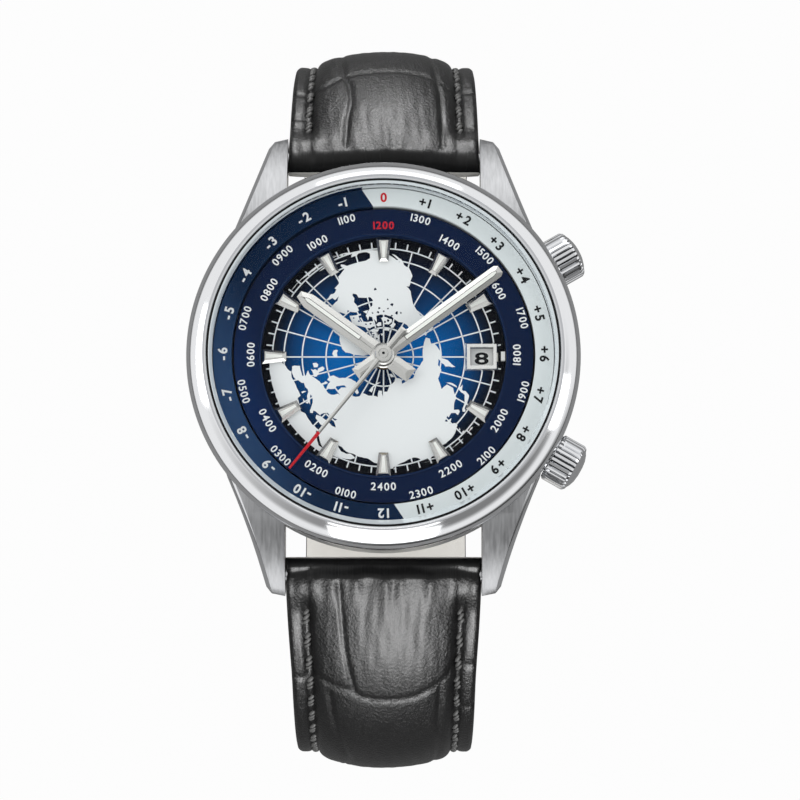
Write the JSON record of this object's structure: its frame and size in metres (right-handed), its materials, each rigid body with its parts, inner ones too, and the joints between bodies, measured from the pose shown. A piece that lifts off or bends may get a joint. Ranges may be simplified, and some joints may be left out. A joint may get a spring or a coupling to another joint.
{
  "type": "world time wristwatch",
  "caption": "Round steel wristwatch with a polar map dial, a time zone ring turned by its own crown, a date window and a padded leather strap.",
  "frame": {"origin": "centre of the case back's flat outer face", "axes": "+Z out of the dial, +Y towards 12 o'clock, +X towards 3 o'clock"},
  "size_m": [0.045, 0.0882, 0.0683],
  "materials": {
    "case_steel": "fine brushed",
    "polished_steel": "polished",
    "seconds_paint": "satin",
    "marker_white": "matt",
    "crystal_glass": "clear",
    "seal_rubber": "matt",
    "dial_blue": "sunray",
    "ring_navy": "satin",
    "date_white": "matt",
    "movement_steel": "matt",
    "gear_brass": "satin",
    "spacer_plastic": "matt",
    "strap_leather": "embossed, semi-gloss"
  },
  "bodies": {
    "case": {"mid_case": "case_steel", "bezel": "polished_steel", "crystal": "crystal_glass", "crystal_seal": "seal_rubber", "case_back": "case_steel", "back_seal": "seal_rubber", "spring_bar_upper": "polished_steel", "spring_bar_lower": "polished_steel", "crown_tube_upper": "polished_steel", "crown_tube_lower": "polished_steel", "movement_ring": "spacer_plastic", "main_plate": "movement_steel", "train_bridge": "movement_steel", "balance_cock": "movement_steel", "movement_clamps": "movement_steel", "movement_screws": "movement_steel", "rotor_bearing": "movement_steel", "dial": "dial_blue", "number_ring": "ring_navy", "trim_ring": "polished_steel", "hour_markers": "polished_steel", "three_marker": "marker_white", "date_frame": "polished_steel"},
    "zone_ring": {"time_zone_ring": "ring_navy"},
    "ring_crown": {"crown_upper": "polished_steel", "crown_seal_upper": "seal_rubber", "ring_stem": "movement_steel", "ring_pinion": "movement_steel"},
    "winding_gear": {"winding_pinion": "movement_steel"},
    "winding_crown": {"crown_lower": "polished_steel", "crown_seal_lower": "seal_rubber", "winding_stem": "movement_steel"},
    "seconds": {"seconds_hand": "seconds_paint", "seconds_arbor": "movement_steel"},
    "minutes": {"minute_hand": "polished_steel", "cannon_pinion": "movement_steel"},
    "minute_wheel": {"minute_wheel": "gear_brass"},
    "hours": {"hour_hand": "polished_steel", "hour_wheel": "gear_brass"},
    "date": {"date_disc": "date_white"},
    "barrel": {"barrel": "gear_brass"},
    "balance": {"balance_wheel": "gear_brass"},
    "rotor": {"rotor": "movement_steel"},
    "strap_lower": {"strap_lower": "strap_leather"},
    "strap_upper": {"strap_upper": "strap_leather", "keeper_fixed": "strap_leather"},
    "free_keeper": {"keeper_free": "strap_leather"},
    "buckle": {"buckle_frame": "polished_steel", "buckle_bar": "polished_steel"},
    "tongue": {"buckle_tongue": "polished_steel"}
  },
  "joints": [
    {"name": "ring_crown_turn", "type": "hinge", "parent": "case", "child": "ring_crown", "pos_m": [0.01862, 0.01075, 0.0045], "axis": [0.866, 0.5, 0], "continuous": true},
    {"name": "zone_ring_turn", "type": "hinge", "parent": "case", "child": "zone_ring", "pos_m": [0, 0, 0.00677], "axis": [0, 0, 1], "continuous": true},
    {"name": "winding_turn", "type": "hinge", "parent": "case", "child": "winding_gear", "pos_m": [0.01862, -0.01075, 0.0045], "axis": [0.866, -0.5, 0], "continuous": true},
    {"name": "crown_pull", "type": "slide", "parent": "winding_gear", "child": "winding_crown", "axis": [0.866, -0.5, 0], "range_m": [0, 0.0012]},
    {"name": "minute_hand_turn", "type": "hinge", "parent": "case", "child": "minutes", "pos_m": [0, 0, 0.00795], "axis": [0, 0, 1], "continuous": true},
    {"name": "hour_hand_turn", "type": "hinge", "parent": "case", "child": "hours", "pos_m": [0, 0, 0.00725], "axis": [0, 0, 1], "continuous": true},
    {"name": "minute_wheel_turn", "type": "hinge", "parent": "case", "child": "minute_wheel", "pos_m": [0.00133, 0.0023, 0.00555], "axis": [0, 0, 1], "continuous": true},
    {"name": "seconds_hand_turn", "type": "hinge", "parent": "case", "child": "seconds", "pos_m": [0, 0, 0.00845], "axis": [0, 0, 1], "continuous": true},
    {"name": "date_disc_turn", "type": "hinge", "parent": "case", "child": "date", "pos_m": [0, 0, 0.0055], "axis": [0, 0, 1], "continuous": true},
    {"name": "barrel_turn", "type": "hinge", "parent": "case", "child": "barrel", "pos_m": [-0.00436, 0.00623, 0.0035], "axis": [0, 0, 1], "continuous": true},
    {"name": "balance_swing", "type": "hinge", "parent": "case", "child": "balance", "pos_m": [-0.00587, -0.00587, 0.0035], "axis": [0, 0, 1], "range_deg": [-270, 270]},
    {"name": "rotor_turn", "type": "hinge", "parent": "case", "child": "rotor", "pos_m": [0, 0, 0.0012], "axis": [0, 0, 1], "continuous": true},
    {"name": "strap_lower_swing", "type": "hinge", "parent": "case", "child": "strap_lower", "pos_m": [0, -0.024, 0.0022], "axis": [-1, 0, 0], "range_deg": [0, 60]},
    {"name": "strap_upper_swing", "type": "hinge", "parent": "case", "child": "strap_upper", "pos_m": [0, 0.024, 0.0022], "axis": [1, 0, 0], "range_deg": [0, 60]},
    {"name": "keeper_slide", "type": "slide", "parent": "strap_upper", "child": "free_keeper", "axis": [0, 1, 0], "range_m": [-0.0012, 0.001]},
    {"name": "buckle_swing", "type": "hinge", "parent": "strap_upper", "child": "buckle", "pos_m": [0, 0.0069, -0.0443], "axis": [-1, 0, 0], "range_deg": [0, 70]},
    {"name": "tongue_swing", "type": "hinge", "parent": "buckle", "child": "tongue", "pos_m": [0, 0.0069, -0.0443], "axis": [1, 0, 0], "range_deg": [0, 30]}
  ],
  "couplings": [
    {"joint": "zone_ring_turn", "follows": "ring_crown_turn", "ratio": -0.11111},
    {"joint": "hour_hand_turn", "follows": "minute_hand_turn", "ratio": 0.083333},
    {"joint": "minute_wheel_turn", "follows": "minute_hand_turn", "ratio": -0.33333},
    {"joint": "strap_upper_swing", "follows": "strap_lower_swing", "ratio": 1}
  ]
}
